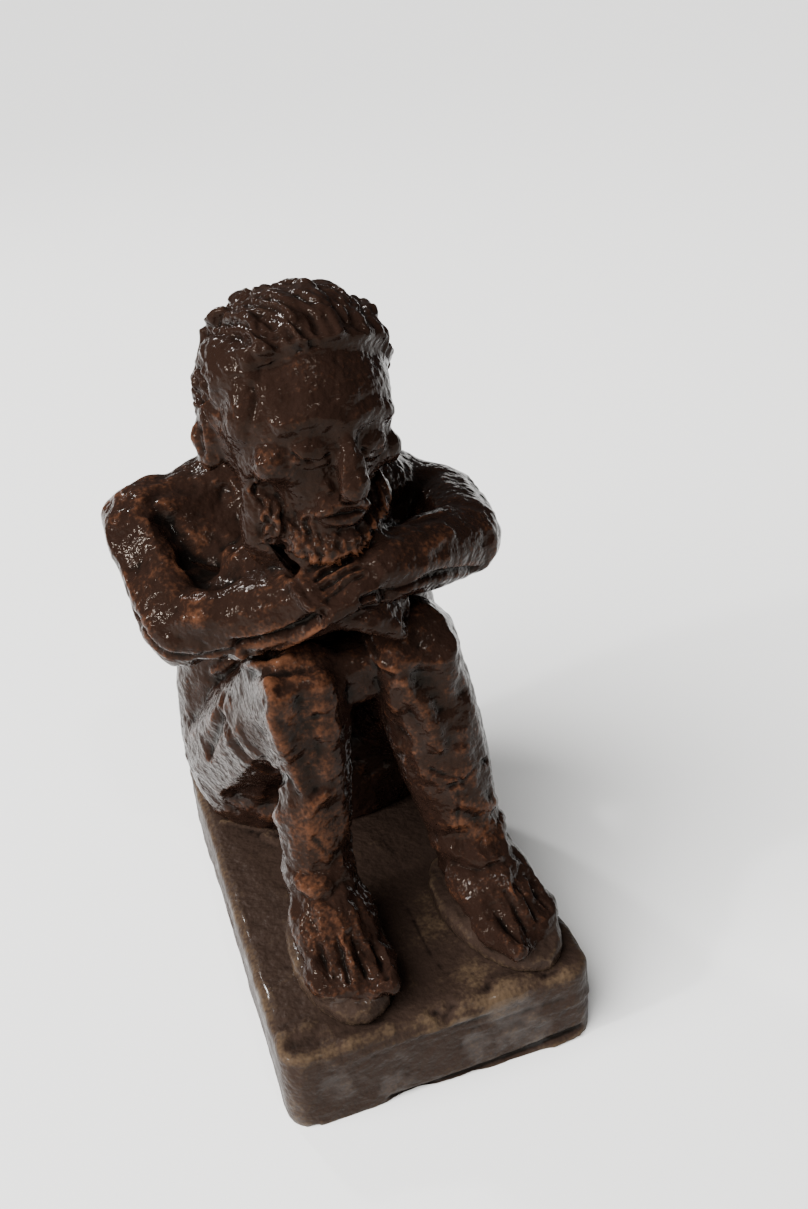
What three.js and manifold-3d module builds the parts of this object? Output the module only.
// Sitting man on a plinth: a small glazed clay figure, hand-built from lumps joined with slip.
// Millimetres, +Z up. The man faces -Y, and the origin lies under the middle of the whole figure.
// Right and left are the man's own, so his right side is at -X.

import * as THREE from "three";
import { mergeVertices } from "three/addons/utils/BufferGeometryUtils.js";
import Module from "manifold-3d";

const wasm = await Module();
wasm.setup();

// Plinth: a slab box, hollowed from below so that it fires evenly
const PLINTH_WIDTH = 95;
const PLINTH_LENGTH = 156;
const PLINTH_HEIGHT = 28;
const PLINTH_CORNER_RADIUS = 5;
const PLINTH_EDGE_ROUND = 2.5;
const PLINTH_WALL = 14;
const PLINTH_DECK = 12;
const VENT_BORE = 18;
const VENT_DEPTH = 60;

// The right shoulder stands out further than the left one, so the plinth's middle lies beside the origin
const PLINTH_OFFSET = 2.2;

// The joint that slip fills between two lumps of clay
const SLIP_GAP = 0.3;

// Trunk, as sections from the seat to the root of the neck: height above the seat, half width,
// half depth, and how far the spine lies behind the middle of the plinth
const TRUNK_SECTIONS = [
  [-3, 43, 30, 45],
  [20, 49, 32, 45],
  [50, 47, 30, 46],
  [80, 43, 28, 42],
  [106, 44, 27, 31],
  [126, 33, 21, 19],
  [137, 16, 13, 12],
];

// Swells of the trunk: the shoulder blades at the back, and the chest in front of each shoulder
const BLADE = [22, 44, 96];
const BLADE_RADII = [21, 15.5, 28];
const CHEST_INWARD = 14;
const CHEST_AHEAD = 10;
const CHEST_BELOW = 8;
const CHEST_RADII = [14, 11, 12];

// The furrow along the spine
const FURROW_RADIUS = 7;
const FURROW_DEPTH = 2.5;

// Joint centres of each side, from the middle of the plinth's top: across, back, up.
// Ankles and balls of the feet have their heights from the sole. The left calf is the thicker one.
const RIGHT = {
  name: "right",
  inward: 1,
  calfRadius: 11.5,
  hip: [-25, 40, 27],
  knee: [-17, -25, 84.5],
  ankle: [-21.5, -33],
  ball: [-21, -58],
  shoulder: [-46.5, 19, 123],
  elbow: [-45, -9, 103],
  wrist: [-10, -34, 115],
  fingertip: [16, -36, 107],
  backOfHand: [0, -0.4, 0.9],
};
const LEFT = {
  name: "left",
  inward: -1,
  calfRadius: 14,
  hip: [25, 40, 27],
  knee: [15, -25, 90],
  ankle: [25, -36],
  ball: [30.5, -58],
  shoulder: [41.5, 19, 109],
  elbow: [37.5, -13, 113],
  wrist: [7, -34.5, 121],
  fingertip: [-16, -41, 121],
  backOfHand: [-0.1, -0.5, 0.85],
};
const NECK_ROOT = [0, 17, 127];

// Radii along the limbs
const SHOULDER_RADIUS = 13.5;
const COLLAR_RADIUS = 15.5;
const UPPER_ARM_RADIUS = 12.5;
const ELBOW_RADIUS = 11.5;
const FOREARM_RADIUS = 10.5;
const WRIST_RADIUS = 8.5;
const THIGH_ROOT_RADIUS = 24;
const THIGH_RADIUS = 19;
const KNEE_RADIUS = 14.5;
const ANKLE_RADIUS = 11;
const NECK_RADIUS = 15;

// How much thinner a limb starts inside the lump that carries it
const TENON_STEP = 1;

// Feet, on the pads of clay that bed them on the plinth
const PAD_LENGTH = 56;
const PAD_WIDTH = 29;
const PAD_THICKNESS = 6;
const PAD_ROUND = 2;
const PAD_PLACE = 0.5;
const ANKLE_HEIGHT = 18;
const HEEL_RADIUS = 9;
const HEEL_BEHIND_ANKLE = 3;
const INSTEP_RADIUS = 9;
const FOOT_BALL_RADIUS = 6.5;
const FOOT_EDGE_RADIUS = 4.5;
const TOE_SPACING = 4.2;
const TOE_STAGGER = 1.2;
const TOE_RADII = [3.4, 2.7, 2.6, 2.5, 2.4];
const TOE_LENGTHS = [12, 12, 11, 9.5, 8];

// Hands
const PALM_LENGTH = 14;
const PALM_WIDTH = 17;
const PALM_THICKNESS = 10;
const FINGER_SPACING = 4.2;
const FINGER_LAP = 1.2;
const FINGER_RADIUS = (FINGER_SPACING + FINGER_LAP) / 2;
const FINGER_LENGTH = 9;
const FINGER_DROOP = 2.5;
const THUMB_LENGTH = 8;
const THUMB_SPREAD = 3;

// Head, about the middle of the skull: across, back, up, before it is turned
const HEAD_CENTRE = [-5, -9, 162];
const HEAD_TURN_DEGREES = 14;
const HEAD_TILT_DEGREES = 8;
const SKULL_RADII = [25, 28, 25.5];
const JAW_HINGE = [0, -4, -9];
const JAW_HINGE_RADIUS = 21.5;
const JAW_RADIUS = 17.5;
const CHIN = [0, -18, -25.5];
const CHIN_RADIUS = 9.5;
const BROW_MIDDLE = [0, -23.5, 1];
const BROW_END = [13, -20, 1];
const BROW_RADIUS = 4.5;
const CHEEK = [10.5, -15.8, -9];
const CHEEK_RADII = [9.5, 7.5, 7];
const EYE = [9, -22.3, -5];
const EYE_RADIUS = 4;
const LIP_HALF_WIDTH = 6;
const UPPER_LIP = [-26.2, -20];
const LOWER_LIP = [-26, -23.4];
const LIP_RADIUS = 1.8;
const NOSE_ROOT = [0, -26, -2];
const NOSE_TIP = [0, -30, -14.5];
const NOSE_ROOT_RADIUS = 2.6;
const NOSE_TIP_RADIUS = 4.4;
const EAR = [23.5, 4, -8];
const EAR_RADII = [3.5, 6, 9];
const NAPE = [0, 4, -12];

// Hair: a cap of clay over the skull, cut off along a line that falls from the forehead to the nape,
// with wavy locks combed back over it
const HAIR_THICKNESS = 2.4;
const HAIR_MIDDLE = [1, 0.5, 2];
const HAIRLINE_FRONT = [0, -20.5, 21];
const HAIRLINE_NAPE = [0, 27, -17];
const LOCK_COUNT = 5;
const LOCK_SPACING = 8.5;
const LOCK_RADIUS = 2.6;
const LOCK_SINK = 1;
const LOCK_SWAY = 1.5;
const LOCK_WAVES = 5;

// Fineness of the facets
const LIMB_SIDES = 12;
const LIMB_STEPS = 5;
const DIGIT_SIDES = 6;
const DOME_STEPS = 2;
const BALL_SIDES = 16;
const TRUNK_SIDES = 24;
const TRUNK_STEPS = 11;
const ROUND_STEPS = 3;

const count = (number) => [...Array(number).keys()];
const point = (place) => new THREE.Vector3(...place);
const mirrored = (place, side) => new THREE.Vector3(side * place[0], place[1], place[2]);
const radians = THREE.MathUtils.degToRad;

// A closed geometry as a solid that can be joined and cut
function solid(geometry) {
  const bare = geometry.index ? geometry.toNonIndexed() : geometry;
  bare.deleteAttribute("normal");
  bare.deleteAttribute("uv");
  const merged = mergeVertices(bare);
  const corners = merged.index.array;
  const triVerts = [];
  for (let i = 0; i < corners.length; i += 3) {
    const [a, b, c] = corners.subarray(i, i + 3);
    if (a !== b && b !== c && c !== a) triVerts.push(a, b, c);
  }
  const vertProperties = merged.attributes.position.array;
  return new wasm.Manifold(
    new wasm.Mesh({ numProp: 3, vertProperties, triVerts: new Uint32Array(triVerts) }),
  );
}

// A solid's faces as a geometry for a mesh
function faces(made) {
  const { vertProperties, triVerts } = made.getMesh();
  const geometry = new THREE.BufferGeometry();
  geometry.setAttribute("position", new THREE.BufferAttribute(vertProperties, 3));
  geometry.setIndex(new THREE.BufferAttribute(triVerts, 1));
  geometry.computeVertexNormals();
  return geometry;
}

const join = (solids) => solids.reduce((whole, next) => whole.add(next));

// The lump that is left when the scraps that a cut leaves beside it are thrown away
const trimmed = (made) =>
  made.decompose().reduce((best, next) => (next.volume() > best.volume() ? next : best));

// The quarter round that closes a turned outline on its axis
function dome(radius, height, direction) {
  const arc = count(DOME_STEPS).map((step) => {
    const angle = ((step / DOME_STEPS) * Math.PI) / 2;
    return new THREE.Vector2(radius * Math.sin(angle), height + direction * radius * Math.cos(angle));
  });
  return direction < 0 ? arc : arc.reverse();
}

// A limb: a turned swell from one joint centre to the next, with domed ends
function limb(from, to, radii, grow, sides = LIMB_SIDES, steps = LIMB_STEPS) {
  const axis = to.clone().sub(from);
  const length = axis.length();
  const stations = radii.map(
    (radius, i) => new THREE.Vector2(radius + grow, (length * i) / (radii.length - 1)),
  );
  const outline = [
    ...dome(stations[0].x, 0, -1),
    ...new THREE.SplineCurve(stations).getPoints(steps),
    ...dome(stations.at(-1).x, length, 1),
  ];
  const turned = new THREE.LatheGeometry(outline, sides);
  const stand = new THREE.Quaternion().setFromUnitVectors(new THREE.Vector3(0, 1, 0), axis.normalize());
  turned.applyQuaternion(stand);
  turned.translate(from.x, from.y, from.z);
  return turned;
}

const digit = (from, to, radius, grow) => limb(from, to, [radius, radius], grow, DIGIT_SIDES, 1);

// A ball with three radii
function ball(centre, radii, grow) {
  const [across, deep, high] = radii.map((radius) => radius + grow);
  const made = new THREE.SphereGeometry(1, BALL_SIDES, BALL_SIDES / 2);
  made.rotateX(Math.PI / 2);
  made.scale(across, deep, high);
  made.translate(centre.x, centre.y, centre.z);
  return made;
}

// A rectangle with round corners, about the origin
function roundedRectangle(width, length, radius) {
  const x = width / 2 - radius;
  const y = length / 2 - radius;
  const outline = new THREE.Shape();
  outline.absarc(x, y, radius, 0, Math.PI / 2);
  outline.absarc(-x, y, radius, Math.PI / 2, Math.PI);
  outline.absarc(-x, -y, radius, Math.PI, 1.5 * Math.PI);
  outline.absarc(x, -y, radius, 1.5 * Math.PI, 2 * Math.PI);
  return outline;
}

// Plinth, in the frame of its own top: it hangs below the seat plane
function plinth(grow) {
  const outline = roundedRectangle(
    PLINTH_WIDTH - 2 * PLINTH_EDGE_ROUND,
    PLINTH_LENGTH - 2 * PLINTH_EDGE_ROUND,
    PLINTH_CORNER_RADIUS,
  );
  const block = new THREE.ExtrudeGeometry(outline, {
    depth: PLINTH_HEIGHT - PLINTH_EDGE_ROUND,
    bevelThickness: PLINTH_EDGE_ROUND + grow,
    bevelSize: PLINTH_EDGE_ROUND + grow,
    bevelSegments: ROUND_STEPS,
    curveSegments: ROUND_STEPS,
  });
  block.translate(0, 0, -PLINTH_HEIGHT);
  const floor = new THREE.BoxGeometry(2 * PLINTH_WIDTH, 2 * PLINTH_LENGTH, PLINTH_HEIGHT);
  floor.translate(0, 0, -1.5 * PLINTH_HEIGHT);
  const slab = solid(block).subtract(solid(floor));
  if (grow > 0) return slab;
  const hollow = new THREE.ExtrudeGeometry(
    roundedRectangle(
      PLINTH_WIDTH - 2 * PLINTH_WALL,
      PLINTH_LENGTH - 2 * PLINTH_WALL,
      PLINTH_CORNER_RADIUS,
    ),
    { depth: PLINTH_HEIGHT, bevelEnabled: false, curveSegments: ROUND_STEPS },
  );
  hollow.translate(0, 0, -PLINTH_DECK - PLINTH_HEIGHT);
  return slab.subtract(solid(hollow)).subtract(solid(vent()));
}

// The kiln vent runs up from the plinth's hollow into the trunk, at the seat's middle
function vent() {
  const seatBack = TRUNK_SECTIONS[0][3];
  const radius = VENT_BORE / 2;
  const foot = new THREE.Vector3(0, seatBack, -PLINTH_DECK - radius);
  const top = new THREE.Vector3(0, seatBack, VENT_DEPTH - radius);
  return limb(foot, top, [radius, radius], 0, LIMB_SIDES, 1);
}

// Trunk with the shoulders: rings of the sections' sizes along the leaning spine
function torso(grow) {
  const sizes = new THREE.CatmullRomCurve3(
    TRUNK_SECTIONS.map(([, wide, deep]) => new THREE.Vector3(wide, deep, 0)),
  );
  const spine = new THREE.CatmullRomCurve3(
    TRUNK_SECTIONS.map(([up, , , back]) => new THREE.Vector3(0, back, up)),
  );
  const rings = count(TRUNK_STEPS + 1).map((i) => new THREE.Vector2(1, i / TRUNK_STEPS));
  const outline = [new THREE.Vector2(0, 0), ...rings, new THREE.Vector2(0, 1)];
  const trunk = new THREE.LatheGeometry(outline, TRUNK_SIDES);
  const corner = trunk.attributes.position;
  for (let i = 0; i < corner.count; i++) {
    const share = corner.getY(i);
    const size = sizes.getPoint(share);
    const centre = spine.getPoint(share);
    const across = corner.getX(i) * (size.x + grow);
    const deep = -corner.getZ(i) * (size.y + grow);
    corner.setXYZ(i, across, centre.y + deep, centre.z + grow * (2 * share - 1));
  }
  const [collarUp, , , collarBack] = TRUNK_SECTIONS.at(-2);
  const collarMiddle = new THREE.Vector3(0, collarBack, collarUp - COLLAR_RADIUS / 2);
  const shoulders = [RIGHT, LEFT].map((side) =>
    solid(limb(point(side.shoulder), collarMiddle, [SHOULDER_RADIUS, COLLAR_RADIUS], grow)),
  );
  const swells = [RIGHT, LEFT].flatMap((side) => {
    const [x, y, z] = side.shoulder;
    const chest = new THREE.Vector3(x + side.inward * CHEST_INWARD, y - CHEST_AHEAD, z - CHEST_BELOW);
    return [
      solid(ball(mirrored(BLADE, side.inward), BLADE_RADII, grow)),
      solid(ball(chest, CHEST_RADII, grow)),
    ];
  });
  const body = join([solid(trunk), ...shoulders, ...swells]);
  return grow > 0 ? body : body.subtract(solid(vent())).subtract(furrow());
}

// What is pressed out of the back along the spine, from the seat to between the shoulder blades
function furrow() {
  const stations = TRUNK_SECTIONS.slice(1, -2).map(
    ([up, , deep, back]) => new THREE.Vector3(0, back + deep + FURROW_RADIUS - FURROW_DEPTH, up),
  );
  const runs = stations
    .slice(1)
    .map((above, i) => solid(limb(stations[i], above, [FURROW_RADIUS, FURROW_RADIUS], 0, LIMB_SIDES, 1)));
  return join(runs);
}

// Legs
const anklePoint = (side) => new THREE.Vector3(...side.ankle, PAD_THICKNESS + ANKLE_HEIGHT);
const ballPoint = (side) => new THREE.Vector3(...side.ball, PAD_THICKNESS + FOOT_EDGE_RADIUS);

const thigh = (side) => (grow) =>
  solid(limb(point(side.hip), point(side.knee), [THIGH_ROOT_RADIUS, THIGH_RADIUS, KNEE_RADIUS], grow));

const shin = (side) => (grow) => {
  const radii = [KNEE_RADIUS - TENON_STEP, side.calfRadius, ANKLE_RADIUS - TENON_STEP];
  return solid(limb(point(side.knee), anklePoint(side), radii, grow));
};

// The way a foot points, level from its ankle to its ball, and the way across it
function footHeading(side) {
  const way = ballPoint(side).sub(anklePoint(side)).setZ(0).normalize();
  return { way, across: new THREE.Vector3(-way.y, way.x, 0) };
}

// The pad of clay under a foot: an oval slab with a rounded rim
const pad = (side) => (grow) => {
  const { way } = footHeading(side);
  const outline = new THREE.Shape();
  outline.absellipse(0, 0, PAD_LENGTH / 2 - PAD_ROUND, PAD_WIDTH / 2 - PAD_ROUND, 0, 2 * Math.PI);
  const oval = new THREE.ExtrudeGeometry(outline, {
    depth: PAD_THICKNESS - PAD_ROUND,
    bevelThickness: PAD_ROUND + grow,
    bevelSize: PAD_ROUND + grow,
    bevelSegments: ROUND_STEPS,
    curveSegments: TRUNK_SIDES / 2,
  });
  const middle = anklePoint(side).lerp(ballPoint(side), PAD_PLACE);
  oval.rotateZ(Math.atan2(way.y, way.x));
  oval.translate(middle.x, middle.y, 0);
  return solid(oval);
};

// A foot with its heel, instep and toes
const foot = (side) => (grow) => {
  const { way, across } = footHeading(side);
  const ankle = anklePoint(side);
  const ballOfFoot = ballPoint(side);
  const heelHeight = PAD_THICKNESS + HEEL_RADIUS - SLIP_GAP;
  const heel = ankle.clone().addScaledVector(way, -HEEL_BEHIND_ANKLE).setZ(heelHeight);
  const shapes = [
    limb(heel, ballOfFoot, [HEEL_RADIUS, INSTEP_RADIUS, FOOT_BALL_RADIUS], grow),
    limb(ankle, ballOfFoot, [ANKLE_RADIUS, INSTEP_RADIUS, FOOT_BALL_RADIUS], grow),
  ];
  for (const step of [-TOE_SPACING, TOE_SPACING]) {
    const edge = ballOfFoot.clone().addScaledVector(across, step);
    const radii = [FOOT_EDGE_RADIUS, FOOT_BALL_RADIUS, FOOT_EDGE_RADIUS];
    shapes.push(limb(heel, edge, radii, grow, DIGIT_SIDES));
  }
  TOE_RADII.forEach((radius, i) => {
    const root = ballOfFoot
      .clone()
      .addScaledVector(across, side.inward * (2 - i) * TOE_SPACING)
      .addScaledVector(way, -i * TOE_STAGGER)
      .setZ(PAD_THICKNESS + radius);
    shapes.push(digit(root, root.clone().addScaledVector(way, TOE_LENGTHS[i]), radius, grow));
  });
  return join(shapes.map(solid));
};

// Arms
const upperArm = (side) => (grow) => {
  const radii = [SHOULDER_RADIUS - TENON_STEP, UPPER_ARM_RADIUS, ELBOW_RADIUS];
  return solid(limb(point(side.shoulder), point(side.elbow), radii, grow));
};

const forearm = (side) => (grow) => {
  const radii = [ELBOW_RADIUS - TENON_STEP, FOREARM_RADIUS, WRIST_RADIUS];
  return solid(limb(point(side.elbow), point(side.wrist), radii, grow));
};

// A hand, modelled along +X from its wrist with its back up, then laid along its own line
const hand = (side) => (grow) => {
  const wrist = point(side.wrist);
  const along = point(side.fingertip).sub(wrist).normalize();
  const thumbward = point(side.backOfHand).cross(along).multiplyScalar(side.inward).normalize();
  const back = along.clone().cross(thumbward).multiplyScalar(side.inward);
  const placed = (x, y, z) =>
    wrist.clone().addScaledVector(along, x).addScaledVector(thumbward, y).addScaledVector(back, z);
  const palm = ball(
    new THREE.Vector3(PALM_LENGTH / 2, 0, 0),
    [PALM_LENGTH / 2 + FINGER_RADIUS, PALM_WIDTH / 2, PALM_THICKNESS / 2],
    grow,
  );
  const lay = new THREE.Matrix4().makeBasis(along, back.clone().cross(along), back).setPosition(wrist);
  const shapes = [palm.applyMatrix4(lay)];
  for (const i of count(4)) {
    const sideways = (1.5 - i) * FINGER_SPACING;
    const reach = FINGER_LENGTH - Math.abs(i - 1);
    const knuckle = placed(PALM_LENGTH - FINGER_RADIUS, sideways, 0);
    shapes.push(digit(knuckle, placed(PALM_LENGTH + reach, sideways, -FINGER_DROOP), FINGER_RADIUS, grow));
  }
  const thumbRoot = placed(FINGER_RADIUS, PALM_WIDTH / 2 - FINGER_RADIUS, 0);
  const thumbTip = placed(FINGER_RADIUS + THUMB_LENGTH, PALM_WIDTH / 2 - FINGER_RADIUS + THUMB_SPREAD, 0);
  shapes.push(digit(thumbRoot, thumbTip, FINGER_RADIUS, grow));
  return join(shapes.map(solid));
};

// Head and what is on it, modelled facing -Y about the skull's middle, then turned to his left
const headGroup = new THREE.Group();
headGroup.position.set(...HEAD_CENTRE);
headGroup.rotation.set(0, radians(HEAD_TILT_DEGREES), radians(HEAD_TURN_DEGREES), "ZYX");
headGroup.updateMatrix();

const onHead = (shape) => solid(shape.applyMatrix4(headGroup.matrix));

function head(grow) {
  const jaw = limb(point(JAW_HINGE), point(CHIN), [JAW_HINGE_RADIUS, JAW_RADIUS, CHIN_RADIUS], grow);
  const lip = (place) => {
    const corner = [LIP_HALF_WIDTH, ...place];
    return digit(mirrored(corner, -1), mirrored(corner, 1), LIP_RADIUS, grow);
  };
  const shapes = [ball(new THREE.Vector3(), SKULL_RADII, grow), jaw, lip(UPPER_LIP), lip(LOWER_LIP)];
  for (const side of [-1, 1]) {
    shapes.push(
      digit(point(BROW_MIDDLE), mirrored(BROW_END, side), BROW_RADIUS, grow),
      digit(mirrored(EYE, side), mirrored(EYE, side).setX(side * (EYE[0] + 1)), EYE_RADIUS, grow),
      ball(mirrored(CHEEK, side), CHEEK_RADII, grow),
    );
  }
  return join(shapes.map(onHead));
}

const nose = (grow) =>
  onHead(limb(point(NOSE_ROOT), point(NOSE_TIP), [NOSE_ROOT_RADIUS, NOSE_TIP_RADIUS], grow, DIGIT_SIDES));

const ear = (side) => (grow) => onHead(ball(mirrored(EAR, side), EAR_RADII, grow));

// A lock of hair: a wavy ring that runs back over the crown, so far across from its middle
function lock(across, radii, grow) {
  const round = Math.sqrt(1 - (across / radii[0]) ** 2);
  const ring = new THREE.TorusGeometry(
    round * radii[1] - LOCK_SINK,
    LOCK_RADIUS + grow,
    DIGIT_SIDES,
    TRUNK_SIDES,
  );
  ring.rotateY(Math.PI / 2);
  ring.scale(1, 1, radii[2] / radii[1]);
  const corner = ring.attributes.position;
  for (let i = 0; i < corner.count; i++) {
    const along = Math.atan2(corner.getZ(i), corner.getY(i));
    corner.setX(i, corner.getX(i) + across + LOCK_SWAY * Math.sin(LOCK_WAVES * along));
  }
  return ring;
}

// The hair cap and its locks
function hair(grow) {
  const radii = SKULL_RADII.map((radius) => radius + HAIR_THICKNESS);
  const front = point(HAIRLINE_FRONT);
  const nape = point(HAIRLINE_NAPE);
  const reach = 2 * Math.max(...radii);
  const below = new THREE.BoxGeometry(2 * reach, 2 * reach, reach);
  below.translate(0, 0, -reach / 2 - grow);
  below.rotateX(Math.atan2(nape.z - front.z, nape.y - front.y));
  const middle = front.clone().lerp(nape, 0.5);
  below.translate(middle.x, middle.y, middle.z);
  const crown = ball(point(HAIR_MIDDLE), radii, grow);
  const locks = count(LOCK_COUNT).map((i) => {
    const across = (i - (LOCK_COUNT - 1) / 2) * LOCK_SPACING;
    return lock(across, radii, grow).translate(...HAIR_MIDDLE);
  });
  return join([crown, ...locks].map(onHead)).subtract(onHead(below));
}

const neck = (grow) => {
  const nape = point(NAPE).applyMatrix4(headGroup.matrix);
  return solid(limb(point(NECK_ROOT), nape, [NECK_RADIUS, NECK_RADIUS], grow));
};

// Glaze: darkest where it lies thick in the hair, browner where it thins over the forms
const glaze = (colour) => new THREE.MeshStandardMaterial({ color: colour, roughness: 0.3, metalness: 0 });
const GLAZE_BODY = glaze(0x3a2418);
const GLAZE_HAIR = glaze(0x2a1c15);
const GLAZE_PLINTH = glaze(0x40301f);

// The lumps in the order they are put on: each is shaped to those before it, with a joint of slip between
const lumps = [
  { name: "plinth", make: plinth, glaze: GLAZE_PLINTH },
  { name: "torso", make: torso, glaze: GLAZE_BODY },
  { name: "head", make: head, glaze: GLAZE_BODY, group: headGroup },
  { name: "neck", make: neck, glaze: GLAZE_BODY },
];
for (const side of [RIGHT, LEFT]) {
  lumps.push(
    { name: `${side.name}_thigh`, make: thigh(side), glaze: GLAZE_BODY },
    { name: `${side.name}_foot_pad`, make: pad(side), glaze: GLAZE_PLINTH },
    { name: `${side.name}_foot`, make: foot(side), glaze: GLAZE_BODY },
    { name: `${side.name}_shin`, make: shin(side), glaze: GLAZE_BODY },
    { name: `${side.name}_upper_arm`, make: upperArm(side), glaze: GLAZE_BODY },
    { name: `${side.name}_forearm`, make: forearm(side), glaze: GLAZE_BODY },
  );
}
lumps.push(
  { name: "left_hand", make: hand(LEFT), glaze: GLAZE_BODY },
  { name: "right_hand", make: hand(RIGHT), glaze: GLAZE_BODY },
  { name: "nose", make: nose, glaze: GLAZE_BODY, group: headGroup },
  { name: "right_ear", make: ear(-1), glaze: GLAZE_BODY, group: headGroup },
  { name: "left_ear", make: ear(1), glaze: GLAZE_BODY, group: headGroup },
  { name: "hair", make: hair, glaze: GLAZE_HAIR, group: headGroup },
);

const sculpture = new THREE.Group();
sculpture.position.set(PLINTH_OFFSET, 0, PLINTH_HEIGHT);
sculpture.add(headGroup);

const laid = [];
for (const { name, make, glaze, group } of lumps) {
  const shaped = trimmed(laid.reduce((rest, before) => rest.subtract(before), make(0)));
  const geometry = faces(shaped);
  if (group) geometry.applyMatrix4(group.matrix.clone().invert());
  const mesh = new THREE.Mesh(geometry, glaze);
  mesh.name = name;
  (group ?? sculpture).add(mesh);
  laid.push(make(SLIP_GAP));
}

export default sculpture;
